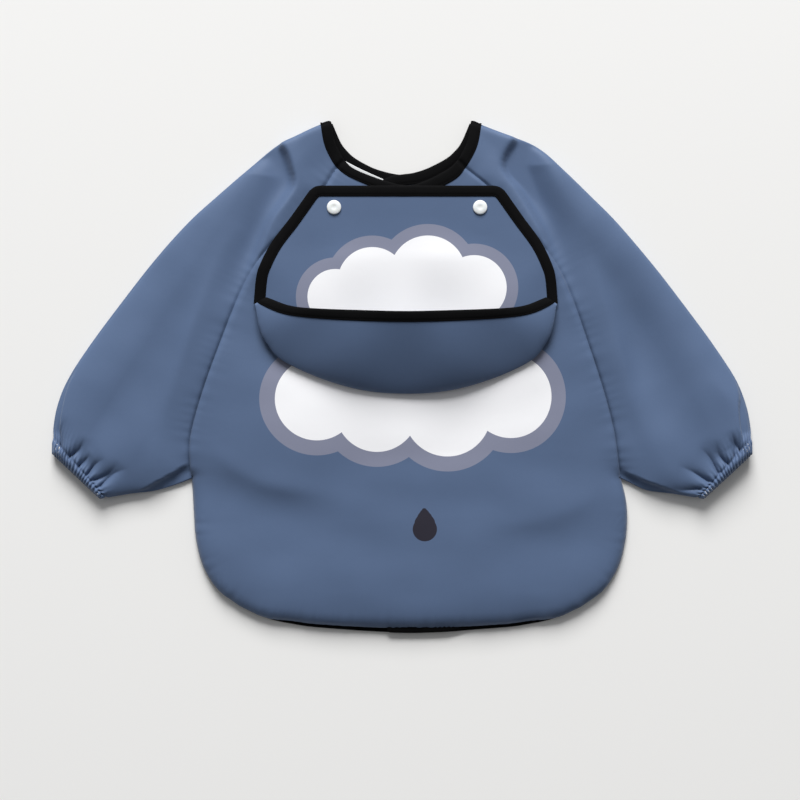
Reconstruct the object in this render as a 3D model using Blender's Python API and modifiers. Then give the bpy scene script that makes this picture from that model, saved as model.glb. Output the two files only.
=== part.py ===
"""A child's long-sleeved smock bib, lying on its back with the arms out, and the food catcher on its chest.

Metres, +Z up. +Y points to the neck and +X to the viewer's right. The origin is on the table under the
middle of the smock. Left pieces are at -X. Cloth is drawn 0.8 mm thick, so that each layer is a solid.
"""

import math

import bmesh
import bpy
import numpy as np
from mathutils import Vector

CLOTH = 0.0008
GAP = 0.0003
SEAM_GAP = 0.0006

# Layers, as heights of the middle of the cloth above the table.
BACK_Z = 0.0014
OVERLAP_Z = BACK_Z + 0.0031
FRONT_EDGE_Z = 0.0068
FRONT_RISE = 0.0075
PILLOW_WIDTH = 0.040
NECK_SHARE = 0.36
NECK_FLAT = 0.042
NECK_SLOPE = 0.060

# Bias binding: a folded tape, C-shaped in section, that the edge of the cloth lies in.
TAPE_LIP = 0.0080
TAPE_TURN = 0.0015
TAPE_ROOM = 0.0009
TAPE_SLOT = 0.0008
TAPE_HALF = 0.0014

FOLD_X = 0.1876
FLAP_X = 0.0640
FLAP_PAST_CENTRE = 0.020
YOKE_Y = 0.138
CATCHER_Z = 0.0168
POCKET_RISE = 0.0220

SNAP_X = 0.0631
SNAP_Y = 0.1474
SNAP_RADIUS = 0.0062

# Half outlines at -X, as (x, y). Each is mirrored for +X.
SHOULDER_LINE = [(-0.0690, 0.2215), (-0.093, 0.210), (-0.114, 0.199), (-0.138, 0.177), (-0.162, 0.1556),
                 (-FOLD_X + SEAM_GAP, 0.133)]
ARM_TOP = [(-FOLD_X - SEAM_GAP, 0.132), (-0.2175, 0.0965), (-0.245, 0.062), (-0.270, 0.0285),
           (-0.290, -0.002), (-0.299, -0.024), (-0.3028, -0.045), (-0.3035, -0.0655)]
ARM_UNDER = [(-FOLD_X - SEAM_GAP, -0.084), (-0.212, -0.095), (-0.240, -0.100), (-0.2625, -0.104)]
SIDE_LINE = [(-0.1868, -0.087), (-0.1876, -0.113), (-0.1858, -0.140), (-0.1788, -0.164), (-0.1655, -0.184),
             (-0.147, -0.1972)]
HEM_LINE = [(-0.147, -0.1972), (-0.1262, -0.2066), (-0.1035, -0.2112), (-0.075, -0.2143), (0.0, -0.2170)]
RAGLAN_FRONT = [(-0.0575, 0.1885), (-0.077, 0.163), (-0.093, 0.140), (-0.133, 0.0945), (-0.1635, 0.019),
                (-0.1866, -0.045)]
RAGLAN_BACK = [(-0.0695, 0.208), (-0.088, 0.175), (-0.125, 0.115), (-0.163, 0.035), (-0.1866, -0.045)]
NECK_FRONT = [(-0.0657, 0.2155), (-0.0635, 0.207), (-0.0600, 0.197), (-0.0515, 0.187), (-0.0405, 0.178),
              (-0.0183, 0.1695), (0.0, 0.1660)]
NECK_BACK = [(-0.0634, 0.2180), (-0.053, 0.203), (-0.046, 0.194), (-0.036, 0.187), (-0.022, 0.1795),
             (-0.0135, 0.1765), (0.0, 0.1755)]
CATCHER_SIDE = [(-0.0998, 0.1376), (-0.1150, 0.117), (-0.1245, 0.098), (-0.1280, 0.086), (-0.1300, 0.068)]
CATCHER_SEAM = [(-0.1300, 0.064), (-0.1260, 0.042), (-0.1190, 0.028), (-0.1070, 0.0150), (-0.075, 0.0000),
                (-0.038, -0.0105), (0.0, -0.0135)]
CATCHER_RIM = [(-0.1210, 0.0685), (-0.1020, 0.0610), (-0.080, 0.0580), (-0.040, 0.0560), (0.0, 0.0550)]

LOWER_NECK = NECK_BACK + [(-x, y) for x, y in NECK_BACK[-2::-1]]
UPPER_NECK = NECK_BACK + [(0.010, 0.1735), (0.021, 0.1695)]
BACK_SIDE_LINE = [(-0.1868, -0.087), (-0.1880, -0.113), (-0.1862, -0.140), (-0.1795, -0.164),
                  (-0.1668, -0.184), (-0.1487, -0.1986)]
BACK_HEM_LINE = [(-0.1487, -0.1986), (-0.1274, -0.2086), (-0.1047, -0.2140), (-0.075, -0.2175),
                 (0.0, -0.2208)]

# The arm's tube, by the middle of its cloth.
ARM_MIDDLE_Z = 0.0046
CUFF_MIDDLE_Z = 0.0082
ARM_RISE = 0.0090
CUFF_RISE = 0.0084
ARM_ROUNDNESS = 0.75
ARM_LENGTH = 0.150
ARM_SIDES = 24
CHANNEL_DEPTH = 0.0030
CHANNEL_START = 0.935
SLEEVE_FOLD_Z = 0.0145

CLOSURE_SIZE = (0.020, 0.035, 0.0006)
CLOSURE_Y = 0.138
LABEL_SIZE = (0.038, 0.020, 0.0004)
LABEL_PLACE = (-0.0400, 0.1675)
LABEL_TURN = math.radians(-27.5)

YOKE_LOW_X = 0.0992
YOKE_HIGH_X = 0.0815
CATCHER_TOP_Y = 0.1645
POCKET_STEPS = 16
POCKET_ROWS = 6
POCKET_END_LIFT = 0.0040
RIM_SPARE = 0.0006
POCKET_SEAM_LIFT = 0.0014

POST = 0.0012
BORE = 0.0015
HOLE = 0.0018
SNAP_STAND = 0.0007
FRONT_STAND = 0.0012
SOCKET_DEPTH = 0.0031
SOCKET_ROOF = 0.0014

FRONT_STEPS = 14
SHOULDER_STEPS = 10
FLAP_STEPS = 6
MIRROR = (-1, 1)
X_AXIS, Y_AXIS = 0, 1

BLUE = (0.097, 0.155, 0.270)
BLACK = (0.004, 0.004, 0.005)
WHITE = (0.880, 0.890, 0.880)


def clear_scene():
    for old in list(bpy.data.objects):
        bpy.data.objects.remove(old, do_unlink=True)


def collection(name):
    made = bpy.data.collections.new(name)
    bpy.context.scene.collection.children.link(made)
    return made


def finish(name, colour, roughness):
    """A Principled material, made once for each name."""
    if name in bpy.data.materials:
        return bpy.data.materials[name]
    made = bpy.data.materials.new(name)
    made.use_nodes = True
    shader = made.node_tree.nodes["Principled BSDF"]
    shader.inputs["Base Color"].default_value = (*colour, 1.0)
    shader.inputs["Roughness"].default_value = roughness
    shader.inputs["Metallic"].default_value = 0.0
    return made


def add(name, shape, material, home):
    """Makes an object of a bmesh, shaded smooth except at its sharp edges."""
    bmesh.ops.recalc_face_normals(shape, faces=shape.faces)
    mesh = bpy.data.meshes.new(name)
    shape.to_mesh(mesh)
    shape.free()
    mesh.shade_smooth()
    mesh.set_sharp_from_angle(angle=math.radians(40))
    mesh.materials.append(material)
    made = bpy.data.objects.new(name, mesh)
    home.objects.link(made)
    return made


def smooth(points, steps):
    """A Catmull-Rom curve through the points, cut into equal steps."""
    knots = np.array(points, float)
    knots = np.vstack([2 * knots[0] - knots[1], knots, 2 * knots[-1] - knots[-2]])
    fine = []
    for a, b, c, d in zip(knots, knots[1:], knots[2:], knots[3:]):
        for t in np.linspace(0.0, 1.0, 16, endpoint=False):
            fine.append(0.5 * (2 * b + (c - a) * t + (2 * a - 5 * b + 4 * c - d) * t**2
                               + (3 * b - a - 3 * c + d) * t**3))
    fine.append(knots[-2])
    return even_steps(np.array(fine), steps)


def even_steps(line, steps):
    """The same line, cut again into equal steps."""
    walked = np.concatenate([[0.0], np.cumsum(np.linalg.norm(np.diff(line, axis=0), axis=1))])
    places = np.linspace(0.0, walked[-1], steps + 1)
    return np.column_stack([np.interp(places, walked, line[:, k]) for k in range(line.shape[1])])


def mirrored(points):
    """The points of a half outline at -X, turned over to +X."""
    return [(-x, *rest) for x, *rest in points]


def both_halves(points, steps):
    """A line across the middle, from a half that ends on it."""
    whole = list(points) + mirrored(points)[-2::-1]
    return smooth(whole, steps)


def distance(x, y, line):
    """From a place to the nearest point of a line."""
    place = np.array([x, y])
    start = line[:-1]
    along = line[1:] - start
    share = np.clip(((place - start) * along).sum(1) / (along**2).sum(1), 0.0, 1.0)
    return float(np.linalg.norm(start + share[:, None] * along - place, axis=1).min())


def ease(value):
    value = min(max(value, 0.0), 1.0)
    return value * value * (3.0 - 2.0 * value)


def smock_outline():
    """The outer edge at -X, from over the neck gap round to the middle of the hem."""
    runs = [(0.0, 0.228)], SHOULDER_LINE, ARM_TOP, ARM_UNDER[::-1], SIDE_LINE, HEM_LINE[1:]
    return np.array([point for run in runs for point in run])


OUTER = smock_outline()
NECK = np.array([(-0.0685, 0.222)] + NECK_FRONT)


def front_z(x, y):
    """The middle of the front layer: a pillow that is low at the outline and at the neck."""
    x = -abs(x)
    edge = min(distance(x, y, OUTER) / PILLOW_WIDTH, 1.0)
    pillow = math.sqrt(1.0 - (1.0 - edge) ** 2)
    near_neck = NECK_SHARE + (1.0 - NECK_SHARE) * ease((distance(x, y, NECK) - NECK_FLAT) / NECK_SLOPE)
    return FRONT_EDGE_Z + FRONT_RISE * min(pillow, near_neck)


def upper_flap_z(x, y):
    """The right back flap climbs onto the left one before it passes the centre."""
    return BACK_Z + (OVERLAP_Z - BACK_Z) * ease((0.056 - x) / 0.028)


def back_z(x, y):
    return BACK_Z


def catcher_z(x, y):
    return CATCHER_Z


def sheet(name, across, along, place, home, material=None, round_tube=False, thickness=CLOTH):
    """A grid wrapped onto place(i, j), with the thickness of cloth."""
    shape = bmesh.new()
    bmesh.ops.create_grid(shape, x_segments=across, y_segments=along, size=1.0)
    for vertex in shape.verts:
        i = round((vertex.co.x + 1.0) / 2.0 * across)
        j = round((vertex.co.y + 1.0) / 2.0 * along)
        vertex.co = place(i, j)
    if round_tube:
        bmesh.ops.remove_doubles(shape, verts=shape.verts, dist=1e-6)
    made = add(name, shape, material or finish("blue_cloth", BLUE, 0.55), home)
    shell = made.modifiers.new("thickness", "SOLIDIFY")
    shell.thickness = thickness
    shell.offset = 0.0
    return made


def patch(bottom, top, left, right, height):
    """place(i, j) for a four-sided panel, blended between its four edges (a Coons patch)."""
    across, along = len(bottom) - 1, len(left) - 1

    def place(i, j):
        u, v = i / across, j / along
        flat = ((1 - v) * bottom[i] + v * top[i] + (1 - u) * left[j] + u * right[j]
                - (1 - u) * (1 - v) * bottom[0] - u * (1 - v) * bottom[-1]
                - (1 - u) * v * top[0] - u * v * top[-1])
        return flat[0], flat[1], height(*flat)

    return place


def panel(name, bottom, top, left, right, height, home):
    place = patch(bottom, top, left, right, height)
    return sheet(name, len(bottom) - 1, len(left) - 1, place, home)


def shifted(points, dx):
    return [(x + dx, y) for x, y in points]


def straight(start, end, steps):
    return np.linspace(start, end, steps + 1)


def inward_normals(path):
    """At each point of a path in plan, the mitred direction to its left."""
    along = np.diff(path, axis=0)
    along /= np.linalg.norm(along, axis=1)[:, None]
    left = np.column_stack([-along[:, 1], along[:, 0]])
    before = np.vstack([left[:1], left])
    after = np.vstack([left, left[-1:]])
    return (before + after) / (1.0 + (before * after).sum(1))[:, None]


# The binding's C in section, as (reach into the cloth, height over its middle).
TAPE_SECTION = [(TAPE_LIP, TAPE_HALF), (-TAPE_TURN, TAPE_HALF), (-TAPE_TURN, -TAPE_HALF),
                (TAPE_LIP, -TAPE_HALF), (TAPE_LIP, -TAPE_SLOT), (-TAPE_ROOM, -TAPE_SLOT),
                (-TAPE_ROOM, TAPE_SLOT), (TAPE_LIP, TAPE_SLOT)]


def tape(name, edge, inward, up, home, spare=0.0):
    """A binding swept along an edge: inward points into the cloth, and up out of its face.

    spare widens the slot where the cloth is curved across it."""
    shape = bmesh.new()
    sides = len(TAPE_SECTION)
    steps = len(edge) - 1
    bmesh.ops.create_grid(shape, x_segments=steps, y_segments=sides, size=1.0)
    for vertex in shape.verts:
        i = round((vertex.co.x + 1.0) / 2.0 * steps)
        j = round((vertex.co.y + 1.0) / 2.0 * sides) % sides
        reach, lift = TAPE_SECTION[j]
        vertex.co = edge[i] + inward[i] * reach + up[i] * (lift + math.copysign(spare, lift))
    bmesh.ops.remove_doubles(shape, verts=shape.verts, dist=1e-6)
    bmesh.ops.holes_fill(shape, edges=shape.edges, sides=0)
    return add(name, shape, finish("black_tape", BLACK, 0.85), home)


def flat_tape(name, path, height, home, cut=X_AXIS, ends=()):
    """A binding along an edge given in plan. The cloth is to the left of the path.

    The ends that are listed, 0 or -1, are cut off along an axis, so that they keep clear of a hinge."""
    path = np.array(path)
    normals = inward_normals(path)
    for end in ends:
        reach = normals[end][cut]
        normals[end] = 0.0
        normals[end][cut] = 1.0 / reach
    inward = []
    edge = []
    for place, normal in zip(path, normals):
        z = height(*place)
        tilt = (height(*(place + normal * TAPE_LIP)) - z) / TAPE_LIP
        edge.append((*place, z))
        inward.append((*normal, tilt))
    up = np.tile([0.0, 0.0, 1.0], (len(path), 1))
    return tape(name, np.array(edge), np.array(inward), up, home)


def joined(*runs):
    """One path from several, dropping the point where two meet."""
    points = list(runs[0])
    for run in runs[1:]:
        points += list(run)[1:]
    return np.array(points)


ARM_SHARES = np.linspace(0.0, 1.0, 25)
ARM_UPPER = smooth(ARM_TOP, 24)
ARM_LOWER = smooth(ARM_UNDER, 24)


def front_panel(home):
    side = smooth(shifted(SIDE_LINE[::-1], SEAM_GAP), 5)
    raglan = smooth(shifted(RAGLAN_FRONT[::-1], SEAM_GAP), 10)
    left = np.vstack([side, raglan])
    hem = both_halves(HEM_LINE, FRONT_STEPS)
    neck = both_halves(NECK_FRONT, 2 * FRONT_STEPS)
    neck = neck[np.abs(neck[:, 0]) < -RAGLAN_FRONT[0][0] - SEAM_GAP]
    top = even_steps(np.vstack([left[-1:], neck, left[-1:] * MIRROR]), FRONT_STEPS)
    return panel("front_panel", hem, top, left, left * MIRROR, front_z, home)


def shoulder(name, side, home):
    """The cap of a raglan sleeve: front layer, fold and back layer in one piece of cloth."""
    seam = smooth(shifted(RAGLAN_FRONT, -SEAM_GAP), SHOULDER_STEPS)
    fold = smooth(SHOULDER_LINE, SHOULDER_STEPS)
    back = smooth(shifted(RAGLAN_BACK, -SEAM_GAP), SHOULDER_STEPS)
    front_rows, turn_rows, back_rows = 7, 3, 5
    turn_end = front_rows + turn_rows
    radius = (FRONT_EDGE_Z - BACK_Z) / 2

    def place(i, j):
        if j < front_rows:
            x, y = seam[i] + (fold[i] - seam[i]) * j / front_rows
            return side * x, y, front_z(x, y)
        if j > turn_end:
            x, y = fold[i] + (back[i] - fold[i]) * (j - turn_end) / back_rows
            return side * x, y, BACK_Z
        angle = math.pi * (j - front_rows) / turn_rows
        outward = (fold[i] - seam[i]) / np.linalg.norm(fold[i] - seam[i])
        x, y = fold[i] + outward * radius * math.sin(angle)
        return side * x, y, BACK_Z + radius * (1.0 + math.cos(angle))

    return sheet(name, SHOULDER_STEPS, turn_end + back_rows, place, home)


def arm_point(share, inset, angle):
    """A point of the arm's tube: share runs from the fold line to the cuff, and angle round the tube."""
    upper = np.array([np.interp(share, ARM_SHARES, ARM_UPPER[:, k]) for k in range(2)])
    lower = np.array([np.interp(share, ARM_SHARES, ARM_LOWER[:, k]) for k in range(2)])
    half = (upper - lower) / 2
    width = np.linalg.norm(half)
    full = ease(share)
    middle_z = ARM_MIDDLE_Z + (CUFF_MIDDLE_Z - ARM_MIDDLE_Z) * full
    rise = ARM_RISE + (CUFF_RISE - ARM_RISE) * full
    drop = middle_z - CLOTH / 2
    cosine, sine = math.cos(angle), math.sin(angle)
    reach = (width - inset) * math.copysign(abs(cosine) ** ARM_ROUNDNESS, cosine)
    lift = ((rise if sine > 0 else drop) - inset) * math.copysign(abs(sine) ** ARM_ROUNDNESS, sine)
    past_end = max(share - 1.0, 0.0) * ARM_LENGTH
    outward = np.array([half[1], -half[0]]) / width
    x, y = (upper + lower) / 2 + half / width * reach - outward * past_end
    return x, y, middle_z + lift


def sleeve(name, side, home):
    """The arm's tube. Its end is turned in and back, to make the channel that holds the elastic."""
    turn = CHANNEL_DEPTH / 2
    rows = [(share, 0.0) for share in (0.0, 0.14, 0.28, 0.42, 0.56, 0.70, 0.82, 0.92, 1.0)]
    rows += [(1.0 + turn / ARM_LENGTH, turn), (1.0, CHANNEL_DEPTH), (CHANNEL_START, CHANNEL_DEPTH)]

    def place(i, j):
        share, inset = rows[j]
        x, y, z = arm_point(share, inset, 2 * math.pi * i / ARM_SIDES)
        return side * x, y, z

    return sheet(name, ARM_SIDES, len(rows) - 1, place, home, round_tube=True)


def cuff_elastic(name, side, home):
    def place(i, j):
        share = (CHANNEL_START + 0.01, 0.99)[j]
        x, y, z = arm_point(share, CHANNEL_DEPTH / 2, 2 * math.pi * i / ARM_SIDES)
        return side * x, y, z

    return sheet(name, ARM_SIDES, 1, place, home, finish("white_elastic", WHITE, 0.8), round_tube=True)


def along_x(line, start, end, steps):
    """The stretch of a line between two values of x, in steps. The line runs from -X to +X."""
    x = np.linspace(start, end, steps + 1)
    return np.column_stack([x, np.interp(x, line[:, 0], line[:, 1])])


def back_panel(name, side, home):
    """The fixed side of the back, from the side seam to the line that the flap folds at."""
    inner = -FLAP_X - SEAM_GAP
    outer = np.vstack([smooth(BACK_SIDE_LINE[::-1], 5), smooth(shifted(RAGLAN_BACK[::-1], SEAM_GAP), 10)])
    hem = along_x(both_halves(BACK_HEM_LINE, 40), BACK_HEM_LINE[0][0], inner, 5)
    top = straight(outer[-1], (inner, outer[-1][1]), 5)
    centre = straight(hem[-1], top[-1], len(outer) - 1)
    turn_over = (side, 1)
    return panel(name, hem * turn_over, top * turn_over, outer * turn_over, centre * turn_over, back_z,
                 home)


def flap_edges(neck):
    """The hem, centre edge and neck of a back flap that is hinged at -X."""
    hinge = -FLAP_X + SEAM_GAP
    hem = along_x(both_halves(BACK_HEM_LINE, 40), hinge, FLAP_PAST_CENTRE, FLAP_STEPS)
    top = along_x(smooth(neck, 40), hinge, FLAP_PAST_CENTRE, FLAP_STEPS)
    return hem, straight(hem[-1], top[-1], 12), top


def back_flap(name, side, neck, height, home):
    hem, centre, top = flap_edges(neck)
    hinge = straight(hem[0], top[0], len(centre) - 1)
    turn_over = (side, 1)
    return panel(name, hem * turn_over, top * turn_over, hinge * turn_over, centre * turn_over, height,
                 home)


def flap_tape(name, side, neck, height, home):
    """One binding along the flap's hem, up its centre edge and round its neck."""
    hem, centre, top = flap_edges(neck)
    path = joined(hem, centre, top[::-1]) * (side, 1)
    return flat_tape(name, path[::side], height, home, cut=Y_AXIS, ends=(0, -1))


def hem_tape(name, side, home):
    hem = along_x(both_halves(BACK_HEM_LINE, 40), BACK_HEM_LINE[0][0], -FLAP_X - SEAM_GAP, 6)
    path = joined(smooth(BACK_SIDE_LINE[1:], 5), hem) * (side, 1)
    return flat_tape(name, path[::side], back_z, home, cut=Y_AXIS, ends=(-1 if side == 1 else 0,))


def box(name, size, place, turn, home, material, edge=0.0001):
    shape = bmesh.new()
    bmesh.ops.create_cube(shape, size=1.0)
    bmesh.ops.scale(shape, vec=size, verts=shape.verts)
    made = add(name, shape, material, home)
    made.location = place
    made.rotation_euler.z = turn
    bevel = made.modifiers.new("edges", "BEVEL")
    bevel.width = edge
    bevel.segments = 1
    return made


def closure(home):
    """The hook and loop tapes that hold the neck shut behind: one on each flap, face to face."""
    middle = (BACK_Z + OVERLAP_Z) / 2
    lift = (CLOSURE_SIZE[2] + GAP) / 2
    fuzz = finish("closure_tape", BLACK, 0.95)
    hooks = box("hook_tape", CLOSURE_SIZE, (0.0, CLOSURE_Y, middle - lift), 0.0, home, fuzz)
    loops = box("loop_tape", CLOSURE_SIZE, (0.0, CLOSURE_Y, middle + lift), 0.0, home, fuzz)
    return hooks, loops


def care_label(home):
    z = BACK_Z + CLOTH / 2 + GAP + LABEL_SIZE[2] / 2
    return box("care_label", LABEL_SIZE, (*LABEL_PLACE, z), LABEL_TURN, home, finish("label", WHITE, 0.6))


def catcher_top(home):
    """The strip along the catcher's top, which carries its snaps."""
    low, high = YOKE_Y + SEAM_GAP, CATCHER_TOP_Y
    bottom = straight((-YOKE_LOW_X, low), (YOKE_LOW_X, low), 12)
    top = straight((-YOKE_HIGH_X, high), (YOKE_HIGH_X, high), 12)
    left = straight(bottom[0], top[0], 3)
    return panel("catcher_top", bottom, top, left, left * MIRROR, catcher_z, home)


def catcher_top_tape(home):
    low, high = YOKE_Y + SEAM_GAP, CATCHER_TOP_Y
    right = straight((YOKE_LOW_X, low), (YOKE_HIGH_X, high), 2)
    top = straight((YOKE_HIGH_X, high), (-YOKE_HIGH_X, high), 8)
    path = joined(right, top, right[::-1] * MIRROR)
    return flat_tape("catcher_top_binding", path, catcher_z, home, ends=(0, -1))


def catcher_panel(home):
    left = smooth([CATCHER_SEAM[0]] + CATCHER_SIDE[::-1], 6)
    top = straight(left[-1], left[-1] * MIRROR, POCKET_STEPS)
    bottom = both_halves(CATCHER_SEAM, POCKET_STEPS)
    return panel("catcher_panel", bottom, top, left, left * MIRROR, catcher_z, home)


def catcher_side_tape(name, side, home):
    path = smooth(CATCHER_SIDE, 5) * (-side, 1) * MIRROR
    return flat_tape(name, path[::side], catcher_z, home, ends=(0 if side == 1 else -1,))


def pocket_place():
    """place(i, j) for the pocket's wall, a quarter bowl from its seam up to its rim."""
    seam = both_halves(CATCHER_SEAM, POCKET_STEPS)
    rim = both_halves(CATCHER_RIM, POCKET_STEPS)

    def place(i, j):
        turn = math.pi / 2 * j / POCKET_ROWS
        x, y = seam[i] + (rim[i] - seam[i]) * (1.0 - math.cos(turn))
        from_end = ease(min(i, POCKET_STEPS - i) / 3)
        low = POCKET_END_LIFT + (POCKET_SEAM_LIFT - POCKET_END_LIFT) * from_end
        high = POCKET_END_LIFT + POCKET_RISE * math.sin(math.pi * i / POCKET_STEPS) ** 0.8
        return Vector((x, y, CATCHER_Z + low + (high - low) * math.sin(turn)))

    return place


def catcher_pocket(home):
    return sheet("catcher_pocket", POCKET_STEPS, POCKET_ROWS, pocket_place(), home)


def pocket_rim_tape(home):
    place = pocket_place()
    edge = [place(i, POCKET_ROWS) for i in range(POCKET_STEPS + 1)]
    inward = [(place(i, POCKET_ROWS - 1) - edge[i]).normalized() for i in range(POCKET_STEPS + 1)]
    up = []
    for i in range(POCKET_STEPS + 1):
        along = edge[min(i + 1, POCKET_STEPS)] - edge[max(i - 1, 0)]
        up.append(inward[i].cross(along).normalized())
    return tape("pocket_rim_binding", np.array(edge), np.array(inward), np.array(up), home, RIM_SPARE)


def turned(name, profile, closed, place, home):
    """A small moulded piece: a profile of (radius, height), turned about Z."""
    shape = bmesh.new()
    points = [shape.verts.new((radius, 0.0, height)) for radius, height in profile]
    for start, end in zip(points, points[1:]):
        shape.edges.new((start, end))
    if closed:
        shape.edges.new((points[-1], points[0]))
    mesh = bpy.data.meshes.new(name)
    shape.to_mesh(mesh)
    shape.free()
    mesh.materials.append(finish("white_snap", WHITE, 0.35))
    made = bpy.data.objects.new(name, mesh)
    made.location = place
    home.objects.link(made)
    screw = made.modifiers.new("turn", "SCREW")
    screw.steps = screw.render_steps = 20
    screw.use_merge_vertices = True
    screw.merge_threshold = 1e-5
    screw.use_smooth_shade = True
    return made


def snap(prefix, x, home):
    """A plastic snap: cap and socket on the catcher, stud and backing cap on the smock's front."""
    cloth_z = front_z(x, SNAP_Y)
    base_top = CATCHER_Z - SOCKET_DEPTH - GAP - cloth_z
    peg_top = CATCHER_Z - SOCKET_ROOF - GAP - cloth_z
    cap = [(0.0, 0.0026), (0.0035, 0.0024), (0.0056, 0.0017), (SNAP_RADIUS, 0.0011), (0.0059, SNAP_STAND),
           (POST, SNAP_STAND), (POST, -0.0012), (0.0, -0.0012)]
    socket = [(BORE, -SNAP_STAND), (0.0046, -SNAP_STAND), (0.0052, -0.0013), (0.0052, -SOCKET_DEPTH),
              (0.0027, -SOCKET_DEPTH), (0.0027, -SOCKET_ROOF), (BORE, -SOCKET_ROOF)]
    stud = [(BORE, peg_top), (0.0022, peg_top), (0.0024, peg_top - 0.0006), (0.0021, base_top),
            (0.0050, base_top), (0.0050, FRONT_STAND), (BORE, FRONT_STAND)]
    backing = [(0.0, 0.0018), (POST, 0.0018), (POST, -FRONT_STAND), (0.0060, -FRONT_STAND),
               (SNAP_RADIUS, -0.0016), (0.0056, -0.0022), (0.0, -0.0027)]
    upper, lower = (x, SNAP_Y, CATCHER_Z), (x, SNAP_Y, cloth_z)
    on_catcher = [turned(prefix + "_snap_cap", cap, False, upper, home),
                  turned(prefix + "_snap_socket", socket, True, upper, home)]
    turned(prefix + "_snap_stud", stud, True, lower, home)
    turned(prefix + "_snap_backing", backing, False, lower, home)
    return on_catcher


def pierce(cloths, cutters):
    """Holes for the snaps' posts, through both layers that they join."""
    for x in (-SNAP_X, SNAP_X):
        shape = bmesh.new()
        bmesh.ops.create_cone(shape, cap_ends=True, segments=12, radius1=HOLE, radius2=HOLE, depth=0.03)
        hole = add("post_hole", shape, finish("cutter", WHITE, 0.5), cutters)
        hole.location = (x, SNAP_Y, CATCHER_Z)
        hole.hide_render = True
        hole.display_type = "WIRE"
        for cloth in cloths:
            cut = cloth.modifiers.new("hole", "BOOLEAN")
            cut.object = hole


def hang(name, place, pieces, home, parent=None):
    """An empty on a joint's axis, with the pieces that move about it."""
    pivot = bpy.data.objects.new(name, None)
    pivot.empty_display_size = 0.02
    pivot.location = place
    home.objects.link(pivot)
    bpy.context.view_layer.update()
    for piece in pieces:
        piece.parent = pivot
        piece.matrix_parent_inverse = pivot.matrix_world.inverted()
    return pivot


def main():
    clear_scene()
    home = collection("smock")
    cutters = collection("cutters")
    front = front_panel(home)
    flat_tape("neck_binding", both_halves(NECK_FRONT, 24)[::-1], front_z, home)
    for prefix, side in (("left", 1), ("right", -1)):
        shoulder(prefix + "_shoulder", side, home)
        back_panel(prefix + "_back_panel", side, home)
        hem_tape(prefix + "_hem_binding", side, home)
        arm = [sleeve(prefix + "_sleeve", side, home), cuff_elastic(prefix + "_cuff_elastic", side, home)]
        hang(prefix + "_sleeve_fold", (-side * FOLD_X, 0.0, SLEEVE_FOLD_Z), arm, home)

    hooks, loops = closure(home)
    lower = [back_flap("left_back_flap", 1, LOWER_NECK, back_z, home),
             flap_tape("left_flap_binding", 1, LOWER_NECK, back_z, home), hooks, care_label(home)]
    upper = [back_flap("right_back_flap", -1, UPPER_NECK, upper_flap_z, home),
             flap_tape("right_flap_binding", -1, UPPER_NECK, upper_flap_z, home), loops]
    hang("left_flap_fold", (-FLAP_X, 0.0, 0.0), lower, home)
    hang("right_flap_fold", (FLAP_X, 0.0, 0.0), upper, home)

    yoke = catcher_top(home)
    strip = [yoke, catcher_top_tape(home)]
    strip += snap("left", -SNAP_X, home) + snap("right", SNAP_X, home)
    pierce([front, yoke], cutters)
    bowl = [catcher_panel(home), catcher_pocket(home), pocket_rim_tape(home),
            catcher_side_tape("catcher_left_binding", 1, home),
            catcher_side_tape("catcher_right_binding", -1, home)]
    yoke_pivot = hang("catcher_lift", (0.0, SNAP_Y, CATCHER_Z), strip, home)
    bowl_pivot = hang("catcher_fold", (0.0, YOKE_Y, CATCHER_Z + TAPE_HALF), bowl, home)
    bowl_pivot.parent = yoke_pivot
    bowl_pivot.matrix_parent_inverse = yoke_pivot.matrix_world.inverted()


main()
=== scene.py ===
"""The looks of a toddler's sleeved smock bib, built round its CAD frame. Metres, +Z up, +Y to the neck.

Left pieces are at -X, and half outlines are given at -X. Each sheet of cloth is a grid over four edges,
raised to the height of its layer, with its folds, seams and gathers.
"""

import math
from math import pi

import bmesh
import bpy
import numpy as np
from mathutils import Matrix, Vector, noise


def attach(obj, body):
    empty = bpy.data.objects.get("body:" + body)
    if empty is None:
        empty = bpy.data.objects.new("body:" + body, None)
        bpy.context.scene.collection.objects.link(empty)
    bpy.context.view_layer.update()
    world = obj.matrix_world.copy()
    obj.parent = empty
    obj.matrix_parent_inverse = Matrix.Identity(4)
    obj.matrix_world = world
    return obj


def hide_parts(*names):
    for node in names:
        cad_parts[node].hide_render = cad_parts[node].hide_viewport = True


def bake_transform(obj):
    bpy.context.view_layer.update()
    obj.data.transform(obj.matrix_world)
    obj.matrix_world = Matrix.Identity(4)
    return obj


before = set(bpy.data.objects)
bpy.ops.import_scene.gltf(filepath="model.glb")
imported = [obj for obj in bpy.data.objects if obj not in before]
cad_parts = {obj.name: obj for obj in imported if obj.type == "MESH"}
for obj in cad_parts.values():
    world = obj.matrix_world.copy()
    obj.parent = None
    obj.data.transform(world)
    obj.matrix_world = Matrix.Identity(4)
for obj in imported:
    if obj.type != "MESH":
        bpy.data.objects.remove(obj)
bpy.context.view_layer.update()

# ---- the layers, as the CAD has them, with the pocket a little higher
CLOTH = 0.0005
BACK_Z = 0.0014
OVERLAP_Z = BACK_Z + 0.0031
EDGE_Z = 0.0068
RISE = 0.0075
PILLOW = 0.040
NECK_SHARE = 0.36
NECK_FLAT = 0.042
NECK_SLOPE = 0.060
CATCHER_Z = 0.0168
FOLD_X = 0.1876
FLAP_PAST_CENTRE = 0.020
POCKET_RISE = 0.0250
POCKET_END_LIFT = 0.0040
SNAP_X = 0.0631
SNAP_Y = 0.1474
MIRROR = np.array([-1.0, 1.0])

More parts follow.
